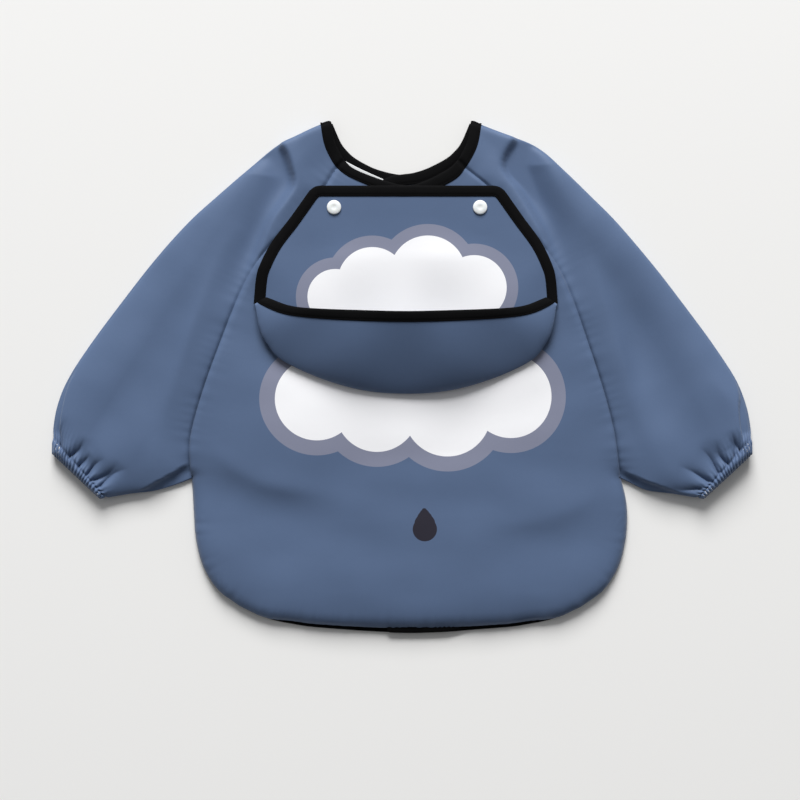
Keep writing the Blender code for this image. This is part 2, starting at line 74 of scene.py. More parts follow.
# ---- half outlines at -X, as (x, y)
SLEEVE_TOP = [
    (-0.064, 0.222), (-0.090, 0.211), (-0.114, 0.200), (-0.138, 0.1795), (-0.162, 0.1575), (-0.187, 0.1335),
    (-0.2175, 0.0985), (-0.245, 0.063), (-0.270, 0.029), (-0.290, -0.002), (-0.299, -0.024),
    (-0.3028, -0.045), (-0.3035, -0.0655)]
SLEEVE_UNDER = [
    (-0.1868, -0.086), (-0.205, -0.0935), (-0.2175, -0.0972), (-0.237, -0.0995), (-0.2625, -0.104)]
SIDE_LINE = [
    (-0.1868, -0.086), (-0.1886, -0.113), (-0.187, -0.140), (-0.1806, -0.164), (-0.168, -0.184),
    (-0.149, -0.1985)]
HEM_LINE = [(-0.149, -0.1985), (-0.1272, -0.2082), (-0.1035, -0.2112), (-0.075, -0.2143), (0.0, -0.217)]
RAGLAN_FRONT = [
    (-0.0503, 0.1885), (-0.0705, 0.167), (-0.093, 0.140), (-0.133, 0.0945), (-0.1635, 0.019),
    (-0.183, -0.045), (-0.1868, -0.086)]
RAGLAN_BACK = [
    (-0.063, 0.212), (-0.088, 0.175), (-0.125, 0.115), (-0.163, 0.035), (-0.183, -0.045), (-0.1868, -0.086)]
NECK_FRONT = [
    (-0.062, 0.2215), (-0.0595, 0.207), (-0.0555, 0.197), (-0.049, 0.187), (-0.040, 0.1795),
    (-0.0183, 0.170), (0.0, 0.166)]
NECK_BACK = [
    (-0.0612, 0.2215), (-0.054, 0.205), (-0.048, 0.197), (-0.040, 0.190), (-0.025, 0.182), (-0.011, 0.1775),
    (0.0, 0.176)]
LOWER_NECK = NECK_BACK + [(-x, y) for x, y in NECK_BACK[-2::-1]]
UPPER_NECK = NECK_BACK + [(0.010, 0.1745), (0.021, 0.1705)]
BACK_SIDE = [
    (-0.1838, -0.087), (-0.185, -0.113), (-0.1832, -0.140), (-0.1764, -0.164), (-0.164, -0.184),
    (-0.1462, -0.1976)]
BACK_HEM = [
    (-0.1462, -0.1976), (-0.1262, -0.2076), (-0.104, -0.2128), (-0.075, -0.2165), (0.0, -0.2206)]
CATCHER_SIDE = [
    (-0.0745, 0.1648), (-0.0788, 0.164), (-0.0825, 0.1615), (-0.085, 0.1585), (-0.0998, 0.1376),
    (-0.115, 0.117), (-0.1245, 0.098), (-0.128, 0.086), (-0.130, 0.064)]
CATCHER_SEAM = [
    (-0.130, 0.064), (-0.126, 0.042), (-0.119, 0.028), (-0.107, 0.015), (-0.075, 0.000), (-0.038, -0.0105),
    (0.0, -0.0135)]
CATCHER_RIM = [(-0.121, 0.0685), (-0.102, 0.061), (-0.080, 0.058), (-0.040, 0.056), (0.0, 0.055)]


# ---- curves
def way_along(line):
    return np.concatenate([[0.0], np.cumsum(np.linalg.norm(np.diff(line, axis=0), axis=1))])


def at_shares(line, shares):
    """The places on a line at these shares of its length."""
    walked = way_along(line)
    return np.column_stack([np.interp(shares * walked[-1], walked, axis) for axis in line.T])


def even_steps(line, steps):
    return at_shares(line, np.linspace(0.0, 1.0, steps + 1))


def smooth(points, steps):
    """A Catmull-Rom curve through the points, cut into equal steps."""
    knots = np.array(points, float)
    knots = np.vstack([2 * knots[0] - knots[1], knots, 2 * knots[-1] - knots[-2]])
    t = np.linspace(0.0, 1.0, 24, endpoint=False)[:, None]
    runs = [0.5 * (2 * b + (c - a) * t + (2 * a - 5 * b + 4 * c - d) * t**2 + (3 * b - a - 3 * c + d) * t**3)
            for a, b, c, d in zip(knots, knots[1:], knots[2:], knots[3:])]
    return even_steps(np.vstack(runs + [knots[-2:-1]]), steps)


def both_halves(points, steps):
    """A curve across the middle, from a half outline that ends on it."""
    return smooth(list(points) + [(-x, y) for x, y in points[-2::-1]], steps)


def along_x(line, start, end, steps):
    """The stretch of a line between two values of x. The line runs from -X to +X."""
    x = np.linspace(start, end, 400)
    return even_steps(np.column_stack([x, np.interp(x, line[:, 0], line[:, 1])]), steps)


def ease(value):
    """A smooth step from 0 to 1, with level ends."""
    value = np.clip(value, 0.0, 1.0)
    return value * value * (3.0 - 2.0 * value)


def unit(vectors):
    return vectors / np.linalg.norm(vectors, axis=-1, keepdims=True)


def left_of(path):
    """At each point of a path in plan, the direction to its left."""
    along = unit(np.gradient(path, axis=0))
    return np.column_stack([-along[:, 1], along[:, 0]])


def to_line(flat, line):
    """Each place's distance from a line, its side of it (+1 is left), and its share of the way along."""
    start = line[:-1]
    along = line[1:] - start
    lengths = np.linalg.norm(along, axis=1)
    walked = way_along(line)
    near = np.full(len(flat), math.inf)
    side = np.zeros(len(flat))
    share = np.zeros(len(flat))
    for s, a, length, before in zip(start, along, lengths, walked):
        rel = flat - s
        t = np.clip((rel @ a) / length**2, 0.0, 1.0)
        gap = rel - t[:, None] * a
        far = np.linalg.norm(gap, axis=1)
        closer = far < near
        near[closer] = far[closer]
        side[closer] = np.sign(a[0] * rel[closer, 1] - a[1] * rel[closer, 0])
        share[closer] = (before + t[closer] * length) / walked[-1]
    return near, side, share


# ---- the height of the front layer
OUTER = np.vstack([[(0.0, 0.228)], smooth(SLEEVE_TOP, 60), smooth(SLEEVE_UNDER[::-1], 20),
                   smooth(SIDE_LINE, 20)[1:], smooth(HEM_LINE, 20)[1:]])
NECK_LINE = smooth([(-0.0685, 0.222)] + NECK_FRONT, 30)
BODY_EDGE = np.vstack([smooth(SIDE_LINE, 30), smooth(HEM_LINE, 30)[1:]])
RAGLAN = smooth(RAGLAN_FRONT, 60)


def lumps(flat, height, size, seed):
    """Soft noise up to this height up and down, with lumps of about this size."""
    return height * np.array([noise.noise((x / size, y / size, seed)) for x, y in flat])


def turned(flat):
    return np.column_stack([-np.abs(flat[:, 0]), flat[:, 1]])


def front_height(flat):
    """The middle of the front layer: a pillow that is low at the outline and at the neck, as in the CAD."""
    half = turned(flat)
    edge = np.clip(to_line(half, OUTER)[0] / PILLOW, 0.0, 1.0)
    pillow = np.sqrt(1.0 - (1.0 - edge) ** 2)
    neck = NECK_SHARE + (1.0 - NECK_SHARE) * ease((to_line(half, NECK_LINE)[0] - NECK_FLAT) / NECK_SLOPE)
    sharp = 14.0
    lower_one = -np.log(np.exp(-sharp * pillow) + np.exp(-sharp * neck)) / sharp
    return EDGE_Z + RISE * np.clip(lower_one, 0.0, 1.0)


# Creases of the shoulders, sleeves and body, each as (1 for left or -1 for right, depth, width, share of its
# line over which its top fades in, the line at -X from the top down). The cloth falls away on a line's right.
CREASES = [
    (1, 0.009, 0.010, 0.06, [
        (-0.124, 0.230), (-0.115, 0.215), (-0.108, 0.204), (-0.102, 0.1965), (-0.0975, 0.186),
        (-0.0955, 0.176), (-0.0975, 0.166), (-0.104, 0.155), (-0.115, 0.138), (-0.123, 0.120),
        (-0.132, 0.098), (-0.142, 0.075), (-0.152, 0.045)]),
    (-1, 0.0085, 0.010, 0.06, [
        (-0.104, 0.233), (-0.100, 0.219), (-0.095, 0.207), (-0.090, 0.198), (-0.0865, 0.188),
        (-0.0885, 0.175), (-0.097, 0.161), (-0.107, 0.144), (-0.116, 0.127), (-0.124, 0.108),
        (-0.132, 0.092), (-0.142, 0.068), (-0.152, 0.040)]),
    (1, 0.0052, 0.020, 0.5, [
        (-0.150, 0.130), (-0.170, 0.080), (-0.188, 0.030), (-0.203, -0.020), (-0.212, -0.070)]),
    (-1, 0.0052, 0.020, 0.5, [
        (-0.148, 0.134), (-0.168, 0.086), (-0.186, 0.036), (-0.200, -0.014), (-0.210, -0.065)]),
    (1, 0.0042, 0.028, 0.35, [(-0.178, -0.050), (-0.150, -0.078), (-0.115, -0.095), (-0.050, -0.104)]),
    (-1, 0.003, 0.030, 0.35, [(-0.176, -0.090), (-0.150, -0.110), (-0.110, -0.124), (-0.050, -0.130)]),
]
CREASE_TAIL = 0.45
TALLEST = 0.0157
SNAP_HOLD = 0.04
SETTLE = 0.0006


def creases(flat):
    total = np.zeros(len(flat))
    soft = 0.09
    for half, depth, width, top, line in CREASES:
        far, side, share = to_line(flat * (half, 1.0), smooth(line, 40))
        fallen = -far * side / width
        away = soft * np.logaddexp(0.0, fallen / soft)
        fade = ease(share / top) * ease((1.0 - share) / CREASE_TAIL)
        total += fade * depth * (0.20 * np.exp(-fallen**2) - away * np.exp(1.0 - away))
    return total


# Slack, as lumps of (height, size, seed). The arm's swell is measured in its own width and length.
BODY_SWELL, BODY_RIPPLE = (0.0042, 0.105, 1.0), (0.0009, 0.040, 5.0)
ARM_SWELL, ARM_RIPPLE = (0.0052, 1.0, 2.0), (0.0007, 0.030, 6.0)
ARM_SWELL_SIZE = (0.045, 0.150)
RIPPLE_STRETCH = (0.7, 1.3)
ACROSS_AND_DOWN_ARM = np.array([[-0.85, -0.53], [0.53, -0.85]])
ARMS_APART = 0.7


def slack(flat):
    """The looseness of laid cloth: round lumps over the body, and long ones down the sleeves."""
    half = turned(flat)
    far, side, _ = to_line(half, RAGLAN)
    sleeve = np.where(side < 0, ease((far - 0.002) / 0.03), 0.0) * ease((half[:, 1] + 0.108) / 0.015)
    on_arm = half @ ACROSS_AND_DOWN_ARM
    on_arm[:, 0] += ARMS_APART * np.sign(flat[:, 0])
    body = lumps(flat, *BODY_SWELL) + lumps(flat * RIPPLE_STRETCH, *BODY_RIPPLE)
    arm = lumps(on_arm / ARM_SWELL_SIZE, *ARM_SWELL) + lumps(on_arm, *ARM_RIPPLE)
    return body + (arm - body) * sleeve


SEAM_PUCKER, SEAM_PUCKER_REACH = 0.0003, 0.006
SEAM_GROOVE, SEAM_GROOVE_REACH = 0.0012, 0.0020
SEAM_HOLLOW, SEAM_HOLLOW_REACH = 0.0006, 0.008
ROLL_DROP, ROLL_WIDTH = 0.0027, 0.011


def seam_dip(flat):
    """Cloth drawn down and puckered along the two raglan seams."""
    far, _, share = to_line(turned(flat), RAGLAN)
    phase = share * 210 + 3 * np.sin(share * 31 + np.sign(flat[:, 0]))
    pucker = SEAM_PUCKER * np.sin(phase) * np.exp(-far / SEAM_PUCKER_REACH)
    groove = SEAM_GROOVE * np.exp(-(far / SEAM_GROOVE_REACH) ** 2)
    return pucker - groove - SEAM_HOLLOW * np.exp(-far / SEAM_HOLLOW_REACH)


def edge_roll(flat):
    """The body's side and hem roll down to the back layer."""
    far = to_line(turned(flat), BODY_EDGE)[0]
    inside = np.clip(far / ROLL_WIDTH, 0.0, 1.0)
    return -ROLL_DROP * (1.0 - np.sqrt(1.0 - (1.0 - inside) ** 2))


def soft_front(flat):
    """The front layer with all its looseness, held at the snaps and kept below the food catcher."""
    from_snap = np.hypot(np.abs(flat[:, 0]) - SNAP_X, flat[:, 1] - SNAP_Y)
    free = np.minimum(from_snap, SNAP_HOLD) / SNAP_HOLD
    loose = (creases(flat) + slack(flat)) * ease(free * 1.6 - 0.3)
    z = front_height(flat) + loose + seam_dip(flat) + edge_roll(flat)
    return TALLEST - no_lower(TALLEST - z, 0.0)


def no_lower(z, least):
    """z, but settling softly on a least height instead of passing through it."""
    return least + SETTLE * np.logaddexp(0.0, (z - least) / SETTLE)


# ---- making meshes
ARMS_LEFT, HEM_RIGHT, NECK_LEFT = 0.0046, 0.0034, 0.0052


def laid(points):
    """The smock as it was laid down: its arms and neck a little to the left, its lower body to the right."""
    x, y = points[..., 0], points[..., 1]
    arm = ease((np.abs(x) - 0.186) / 0.03)
    high = arm + (1.0 - arm) * ease((y + 0.110) / 0.06)
    moved = points.copy()
    moved[..., 0] -= ARMS_LEFT * ease((np.abs(x) - 0.09) / 0.13) * high
    moved[..., 0] += HEM_RIGHT * (1.0 - arm) * ease((-0.075 - y) / 0.05)
    moved[..., 0] -= NECK_LEFT * ease((y - 0.163) / 0.022) * (1.0 - ease((np.abs(x) - 0.070) / 0.055))
    return moved


def place(name, data, where=(0.0, 0.0, 0.0)):
    made = bpy.data.objects.new(name, data)
    made.location = where
    bpy.context.scene.collection.objects.link(made)
    return made


def add(name, points, faces, material, flat):
    """Makes an object of points and faces. flat is where each point lies on the unfolded cloth."""
    mesh = bpy.data.meshes.new(name)
    mesh.from_pydata([tuple(p) for p in laid(np.asarray(points, float))], [], faces)
    mesh.shade_smooth()
    corners = np.empty(len(mesh.loops), np.int32)
    mesh.loops.foreach_get("vertex_index", corners)
    layer = mesh.uv_layers.new(name="flat")
    layer.data.foreach_set("uv", np.asarray(flat, np.float32)[corners].ravel())
    mesh.materials.append(material)
    return place(name, mesh)


def grid_faces(rows, columns):
    corners = [i * columns + j for i in range(rows - 1) for j in range(columns - 1)]
    return [(a, a + columns, a + columns + 1, a + 1) for a in corners]


def tube_faces(rings, around):
    """Quads round a tube of rings x around points, and a flat face over each of its ends."""
    faces = []
    for i in range(rings - 1):
        for j in range(around):
            a, b = i * around + j, i * around + (j + 1) % around
            faces.append((a, b, b + around, a + around))
    last = rings * around
    return faces + [tuple(range(around)), tuple(range(last - 1, last - around - 1, -1))]


def moved_on(faces, first):
    return [tuple(first + k for k in face) for face in faces]


def apply_modifiers(obj):
    graph = bpy.context.evaluated_depsgraph_get()
    final = bpy.data.meshes.new_from_object(obj.evaluated_get(graph), depsgraph=graph)
    obj.modifiers.clear()
    obj.data = final


def face_out(obj):
    shape = bmesh.new()
    shape.from_mesh(obj.data)
    bmesh.ops.recalc_face_normals(shape, faces=shape.faces)
    shape.to_mesh(obj.data)
    shape.free()


def cloth(name, points, flat, material, thickness=CLOTH, reverse=None):
    """A sheet over a grid of points, given a cloth's thickness and, where it differs, its reverse side."""
    rows, columns = points.shape[:2]
    made = add(name, points.reshape(-1, 3), grid_faces(rows, columns), material, flat.reshape(-1, 2))
    shell = made.modifiers.new("thickness", "SOLIDIFY")
    shell.thickness = thickness
    shell.offset = 0.0
    if reverse:
        made.data.materials.append(reverse)
        shell.material_offset = 1
    apply_modifiers(made)
    face_out(made)
    return made


def patch(bottom, top, left, right):
    """The flat places of a four-sided panel, blended between its four edges (a Coons patch)."""
    u = np.linspace(0.0, 1.0, len(bottom))[:, None, None]
    v = np.linspace(0.0, 1.0, len(left))[None, :, None]
    low, high, near, far = bottom[:, None], top[:, None], left[None], right[None]
    corners = ((1 - u) * (1 - v) * bottom[0] + u * (1 - v) * bottom[-1]
               + (1 - u) * v * top[0] + u * v * top[-1])
    return (1 - v) * low + v * high + (1 - u) * near + u * far - corners


def heights(flat, height):
    """The heights of a grid of flat places, from a function of an (n, 2) array."""
    return height(flat.reshape(-1, 2)).reshape(flat.shape[:-1])


def raised(flat, height):
    return np.dstack([flat, heights(flat, height)])


# ---- tapes and threads
# A folded tape in section, from its stitched lip to its edge, as (reach into the cloth, height).
TAPE_TOP = [
    (0.008, 0.00055), (0.0077, 0.0009), (0.0069, 0.001), (0.0065, 0.00082), (0.0061, 0.00102),
    (0.004, 0.00122), (0.001, 0.00122), (-0.0005, 0.001), (-0.0012, 0.00058), (-0.0015, 0.0)]
TAPE_INSIDE = [(0.008, -0.0003), (-0.0006, -0.00034), (-0.001, 0.0), (-0.0006, 0.00034), (0.008, 0.0003)]
TAPE_SECTION = np.array(TAPE_TOP + [(r, -z) for r, z in TAPE_TOP[-2::-1]] + TAPE_INSIDE)
TAPE_EDGE = len(TAPE_TOP) - 1
STITCH_GROOVE, TAPE_CROWN = 3, 5
STITCH_PITCH, STITCH_LENGTH, STITCH_RADIUS = 0.0031, 0.0023, 0.00020
STITCH_TAPER = np.array([0.35, 1.0, 1.0, 0.35])
THREAD_SIDES = 6


def tape_rings(edge, normals, height):
    """The rings of a folded tape along an edge in plan, lying on the cloth."""
    reach, lift = TAPE_SECTION.T
    plan = edge[:, None] + normals[:, None] * reach[None, :, None]
    return np.dstack([plan, heights(plan, height) + lift[None]])


def free_rings(edge, inward, up):
    """The rings of a folded tape along an edge in space."""
    reach, lift = TAPE_SECTION.T
    return edge[:, None] + inward[:, None] * reach[None, :, None] + up[:, None] * lift[None, :, None]


def stitches_on(rings):
    """A row of thread stitches in the groove near a tape's upper lip, as (points, faces)."""
    line = rings[:, STITCH_GROOVE]
    up = unit(rings[:, TAPE_CROWN] - rings[:, 2 * TAPE_EDGE - TAPE_CROWN])
    return thread(line + up * STITCH_RADIUS * 0.5, up, way_along(line)[-1])


def thread(line, up, length):
    """Short round stitches along a line in space, lying in the cloth."""
    points, faces = [], []
    count = max(int(length / STITCH_PITCH), 1)
    rings = len(STITCH_TAPER)
    angles = np.linspace(0.0, 2 * pi, THREAD_SIDES, endpoint=False)
    for start in np.linspace(0.0, 1.0, count, endpoint=False):
        shares = start + np.linspace(0.0, 1.0, rings) * STITCH_LENGTH / length
        middle = at_shares(line, np.clip(shares, 0.0, 1.0))
        top = unit(at_shares(up, np.full(rings, start)))
        side = unit(np.cross(middle[-1] - middle[0] + 1e-9, top[0]))
        faces += moved_on(tube_faces(rings, THREAD_SIDES), len(points))
        for centre, lift, wide in zip(middle, top, STITCH_TAPER * STITCH_RADIUS):
            points += [centre + lift * wide * math.sin(a) + side * wide * math.cos(a) for a in angles]
    return points, faces


def tape(name, rings):
    """A closed tube over rings of points, with flat ends, and the stitches that hold it."""
    points = rings.reshape(-1, 3)
    walked = way_along(rings[:, TAPE_EDGE])
    flat = np.dstack(np.broadcast_arrays(walked[:, None], TAPE_SECTION[None, :, 0])).reshape(-1, 2)
    more, stitched = stitches_on(rings)
    faces = tube_faces(*rings.shape[:2]) + moved_on(stitched, len(points))
    flat = np.vstack([flat, np.zeros((len(more), 2))])
    made = add(name, np.vstack([points, more]), faces, tape_cloth, flat)
    face_out(made)
    made.data.set_sharp_from_angle(angle=math.radians(50))
    return made


# ---- materials
def shader_of(material):
    material.use_nodes = True
    return material.node_tree, material.node_tree.nodes["Principled BSDF"]


def add_node(tree, kind, **values):
    node = tree.nodes.new(kind)
    for key, value in values.items():
        setattr(node, key, value)
    return node


def put(node, values):
    for name, value in values.items():
        node.inputs[name].default_value = value


def maths(tree, operation, *values):
    """The result of a Math node. Each value is a number or another node's socket."""
    node = add_node(tree, "ShaderNodeMath", operation=operation)
    for socket, value in zip(node.inputs, values):
        if isinstance(value, (int, float)):
            socket.default_value = value
        else:
            tree.links.new(value, socket)
    return node.outputs[0]


def noise_at(tree, where, size, detail=4.0):
    """Noise from 0 to 1 over the cloth, with lumps of about this size."""
    node = add_node(tree, "ShaderNodeTexNoise")
    put(node, {"Scale": 1.0 / size, "Detail": detail})
    tree.links.new(where, node.inputs["Vector"])
    return node.outputs["Fac"]


# The scale at which a wave texture has one band in each unit of length.
ONE_BAND = 0.314


def weave(tree, where, pitch):
    """The height of a plain weave, from the flat lie of the cloth."""
    bands = []
    for direction in ("X", "Y"):
        wave = add_node(tree, "ShaderNodeTexWave", bands_direction=direction)
        put(wave, {"Scale": ONE_BAND / pitch, "Distortion": 0.6, "Detail": 1.0})
        tree.links.new(where, wave.inputs["Vector"])
        bands.append(wave.outputs["Fac"])
    return maths(tree, "MAXIMUM", *bands)


def mix_colour(tree, share, a, b):
    """Colour a where the share is 0, and b where it is 1."""
    node = add_node(tree, "ShaderNodeMix", data_type="RGBA")
    tree.links.new(share, node.inputs[0])
    for socket, value in ((node.inputs[6], a), (node.inputs[7], b)):
        if isinstance(value, tuple):
            socket.default_value = (*value, 1.0)
        else:
            tree.links.new(value, socket)
    return node.outputs[2]


def disc_mask(tree, where, discs, grow):
    """1 inside any of the discs, each (x, y, radius), when their radii have grown by this much."""
    mask = None
    for x, y, radius in discs:
        away = add_node(tree, "ShaderNodeVectorMath", operation="DISTANCE")
        tree.links.new(where, away.inputs[0])
        away.inputs[1].default_value = (x, y, 0.0)
        inside = maths(tree, "LESS_THAN", away.outputs["Value"], radius + grow)
        mask = inside if mask is None else maths(tree, "MAXIMUM", mask, inside)
    return mask


def cloth_material(name, colour, pitch, bump, roughness, sheen, prints=(), shine=0.22):
    """Woven cloth with a soft sheen, and painted shade between its threads. prints are (discs, grow, colour),
    laid on in order.
    """
    material = bpy.data.materials.new(name)
    tree, shader = shader_of(material)
    put(shader, {"Specular IOR Level": shine, "Sheen Weight": sheen, "Sheen Roughness": 0.45})
    where = add_node(tree, "ShaderNodeUVMap", uv_map="flat").outputs["UV"]
    darker, lighter = tuple(c * 0.92 for c in colour), tuple(c * 1.08 for c in colour)
    tint = mix_colour(tree, noise_at(tree, where, 0.045, 6.0), darker, lighter)
    thread = weave(tree, where, pitch)
    # Painted shade: the colour is 0.86 as bright in the weave's low places, between its threads.
    shade = mix_colour(tree, thread, tuple(c * 0.86 for c in colour), tint)
    for discs, grow, ink in prints:
        shade = mix_colour(tree, disc_mask(tree, where, discs, grow), shade, ink)
    tree.links.new(shade, shader.inputs["Base Color"])
    vary_roughness(tree, shader, noise_at(tree, where, 0.012), roughness, 0.16)
    crinkle = maths(tree, "MULTIPLY", noise_at(tree, where, 0.006, 2.0), 1.5)
    emboss(tree, shader, maths(tree, "ADD", thread, crinkle), 0.5, bump)
    return material


def vary_roughness(tree, shader, pattern, middle, spread):
    rough = maths(tree, "MULTIPLY_ADD", pattern, spread, middle - spread / 2)
    tree.links.new(rough, shader.inputs["Roughness"])


def emboss(tree, shader, height, strength, distance):
    relief = add_node(tree, "ShaderNodeBump")
    put(relief, {"Strength": strength, "Distance": distance})
    tree.links.new(height, relief.inputs["Height"])
    tree.links.new(relief.outputs["Normal"], shader.inputs["Normal"])


def moulded_material(name, colour, roughness):
    """Moulded plastic with a faint satin grain and slight handling marks."""
    material = bpy.data.materials.new(name)
    tree, shader = shader_of(material)
    where = add_node(tree, "ShaderNodeTexCoord").outputs["Object"]
    tint = mix_colour(tree, noise_at(tree, where, 0.004), tuple(c * 0.97 for c in colour), colour)
    tree.links.new(tint, shader.inputs["Base Color"])
    put(shader, {"Specular IOR Level": 0.5, "Subsurface Weight": 0.05})
    vary_roughness(tree, shader, noise_at(tree, where, 0.0015), roughness, 0.12)
    emboss(tree, shader, noise_at(tree, where, 0.0003), 0.25, 0.00002)
    return material


SLATE = (0.093, 0.142, 0.250)
INK_WHITE = (0.90, 0.90, 0.92)
INK_GREY = (0.220, 0.235, 0.320)
INK_DARK = (0.022, 0.020, 0.032)
# Prints, as discs (x, y, radius) on the flat cloth.
FRONT_CLOUD = [
    (-0.078, -0.018, 0.036), (-0.026, -0.028, 0.036), (0.035, -0.030, 0.038), (0.090, -0.016, 0.036),
    (-0.050, 0.012, 0.045), (0.000, 0.010, 0.050), (0.050, 0.012, 0.048)]
CATCHER_CLOUD = [
    (-0.062, 0.070, 0.024), (-0.030, 0.083, 0.030), (0.018, 0.090, 0.033), (0.058, 0.078, 0.028),
    (0.0, 0.060, 0.040)]
DROP = [
    (0.012, -0.131, 0.0105), (0.012, -0.1265, 0.009), (0.012, -0.122, 0.0066), (0.012, -0.118, 0.0042),
    (0.012, -0.115, 0.0022)]
FRONT_PRINTS = [(FRONT_CLOUD, 0.013, INK_GREY), (FRONT_CLOUD, 0.0, INK_WHITE), (DROP, 0.0, INK_DARK)]
CATCHER_PRINTS = [(CATCHER_CLOUD, 0.010, INK_GREY), (CATCHER_CLOUD, 0.0, INK_WHITE)]

COATED = {"colour": SLATE, "pitch": 0.0006, "bump": 0.00006, "roughness": 0.58, "sheen": 0.12}

smock_cloth = cloth_material("smock_cloth", **COATED)
front_cloth = cloth_material("front_cloth", prints=FRONT_PRINTS, **COATED)
catcher_cloth = cloth_material("catcher_cloth", prints=CATCHER_PRINTS, **COATED)
pocket_cloth = cloth_material("pocket_cloth", **COATED)
tape_cloth = cloth_material("tape_cloth", colour=(0.0022, 0.0022, 0.0026), pitch=0.0008, bump=0.00008,
                            roughness=0.85, sheen=0.0, shine=0.10)
elastic_cloth = cloth_material("elastic_cloth", colour=(0.80, 0.80, 0.78), pitch=0.0009, bump=0.00015,
                               roughness=0.8, sheen=0.1)
label_cloth = cloth_material("label_cloth", colour=(0.78, 0.79, 0.80), pitch=0.0003, bump=0.00003,
                             roughness=0.55, sheen=0.2)
closure_cloth = cloth_material("closure_cloth", colour=(0.006, 0.006, 0.007), pitch=0.0013, bump=0.0004,
                               roughness=0.95, sheen=0.4)
snap_plastic = moulded_material("snap_plastic", (0.90, 0.91, 0.90), 0.32)


# ---- the front
FRONT_ACROSS, FRONT_ALONG, FRONT_SIDE_ROWS = 156, 164, 50
HEM_PUCKER = 0.0005
# The folded hem, as (reach in from its edge, drop below the front layer).
HEM_TURN = [(0.009, 0.0011), (0.006, 0.0012), (0.0004, 0.0012), (-0.0005, 0.0006)]


def front_panel():
    """The smock's front, from the hem up to the raglan seams and the neck."""
    left = np.vstack([smooth(SIDE_LINE[::-1], FRONT_SIDE_ROWS)[:-1],
                      smooth(RAGLAN_FRONT[::-1], FRONT_ALONG - FRONT_SIDE_ROWS)])
    neck = both_halves(NECK_FRONT, 200)
    neck = neck[np.abs(neck[:, 0]) < -RAGLAN_FRONT[0][0]]
    top = even_steps(np.vstack([left[-1:], neck, left[-1:] * MIRROR]), FRONT_ACROSS)
    flat = patch(both_halves(HEM_LINE, FRONT_ACROSS), top, left, left * MIRROR)
    points = raised(flat, soft_front)
    far, _, share = to_line(flat.reshape(-1, 2), both_halves(SIDE_LINE[1:-1] + HEM_LINE, 120))
    pucker = np.sin(share * 560 + 4 * np.sin(share * 90)) * np.exp(-far / 0.007)
    points[:, :, 2] += HEM_PUCKER * pucker.reshape(flat.shape[:2])
    points, flat = turn_under_hem(points, flat)
    points, flat = turn_down_sides(points, flat)
    made = cloth("smock_front", points, flat, front_cloth, reverse=smock_cloth)
    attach(made, "smock")
    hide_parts("front_panel")
    return made


def turn_under_hem(points, flat):
    """The hem's allowance, folded under the lower edge and back up inside."""
    edge = points[:, 0]
    inward = np.zeros_like(edge)
    inward[:, :2] = unit(flat[:, 1] - flat[:, 0])
    down = np.array([0.0, 0.0, -1.0])
    rows = [edge + inward * reach + down * drop for reach, drop in HEM_TURN]
    slope = points[:, 5, 2] - edge[:, 2]
    rows[0][:, 2] += slope
    rows[1][:, 2] += slope * 0.8
    lie = [flat[:, 0] - inward[:, :2] * (0.0015 + reach) for reach, _ in HEM_TURN]
    return np.concatenate([np.stack(rows, 1), points], 1), np.concatenate([np.stack(lie, 1), flat], 1)


def turn_down_sides(points, flat):
    """The seam allowance along both sides, turned down inside."""
    low, halfway = np.array([[0.0, 0.0, -0.0022], [0.0, 0.0, -0.0009]])
    inner_left = (points[3] - points[0]) * 0.3
    inner_right = (points[-4] - points[-1]) * 0.3
    rows = [points[:1] + low + inner_left, points[:1] + halfway, points, points[-1:] + halfway,
            points[-1:] + low + inner_right]
    step = np.array([0.0012, 0.0])
    lie = [flat[:1] - 2 * step, flat[:1] - step, flat, flat[-1:] + step, flat[-1:] + 2 * step]
    return np.concatenate(rows, 0), np.concatenate(lie, 0)


# ---- the sleeves
SHOULDER_ROWS, ARM_ROWS, FRONT_COLUMNS, BACK_COLUMNS, TURN_STEPS = 132, 78, 124, 88, 8
NECK_END_ROWS, OPEN_ROWS = 34, 11
TURN_BULGE = 0.0012
ALLOWANCE = 0.0020
CASING = 0.0078
CASING_BULGE, CASING_GROOVE, CASING_GROOVE_REACH = 0.0009, 0.0011, 0.0012
PUFF, PUFF_REACH = 0.0034, 0.018
RUFFLES, RUFFLE_HEIGHT, RUFFLE_REACH = 19, 0.00095, 0.0050
PLEATS, PLEAT_DEPTH = 6, 0.0066
STEP_DOWN, STEP_LIP = 0.0034, 0.0005
TUCK, TUCK_REACH = 0.0042, 0.016

# Lines at -X where a sleeve's front layer rolls over and the back layer shows, on the line's left.
LEFT_ROLLS = [[(-0.1868, -0.0735), (-0.208, -0.087), (-0.227, -0.0975), (-0.242, -0.103)],
              [(-0.2945, -0.058), (-0.296, -0.0395), (-0.2895, -0.0077), (-0.280, 0.010)]]
RIGHT_ROLLS = [[(-0.188, -0.0805), (-0.2095, -0.0885), (-0.234, -0.0968), (-0.246, -0.101)],
               [(-0.2956, -0.0575), (-0.2925, -0.0415), (-0.2915, -0.0266), (-0.2925, -0.0137),
                (-0.288, 0.000)]]


def sleeve_lines():
    """The front seam, the top fold and the back seam of a sleeve, row by row from the neck to the cuff."""
    shoulder = np.linspace(0.0, 1.0, SHOULDER_ROWS + 1)
    arm = 1.0 - (1.0 - np.linspace(0.0, 1.0, ARM_ROWS + 1)) ** 1.5
    top = smooth(SLEEVE_TOP, 500)
    under = smooth(SLEEVE_UNDER, 200)
    split = int(np.argmin(np.abs(top[:, 0] + FOLD_X)))
    pairs = ((smooth(RAGLAN_FRONT, 300), under), (top[:split + 1], top[split:]),
             (smooth(RAGLAN_BACK, 300), under))
    return [np.vstack([at_shares(first, shoulder)[:-1], at_shares(second, arm)]) for first, second in pairs]


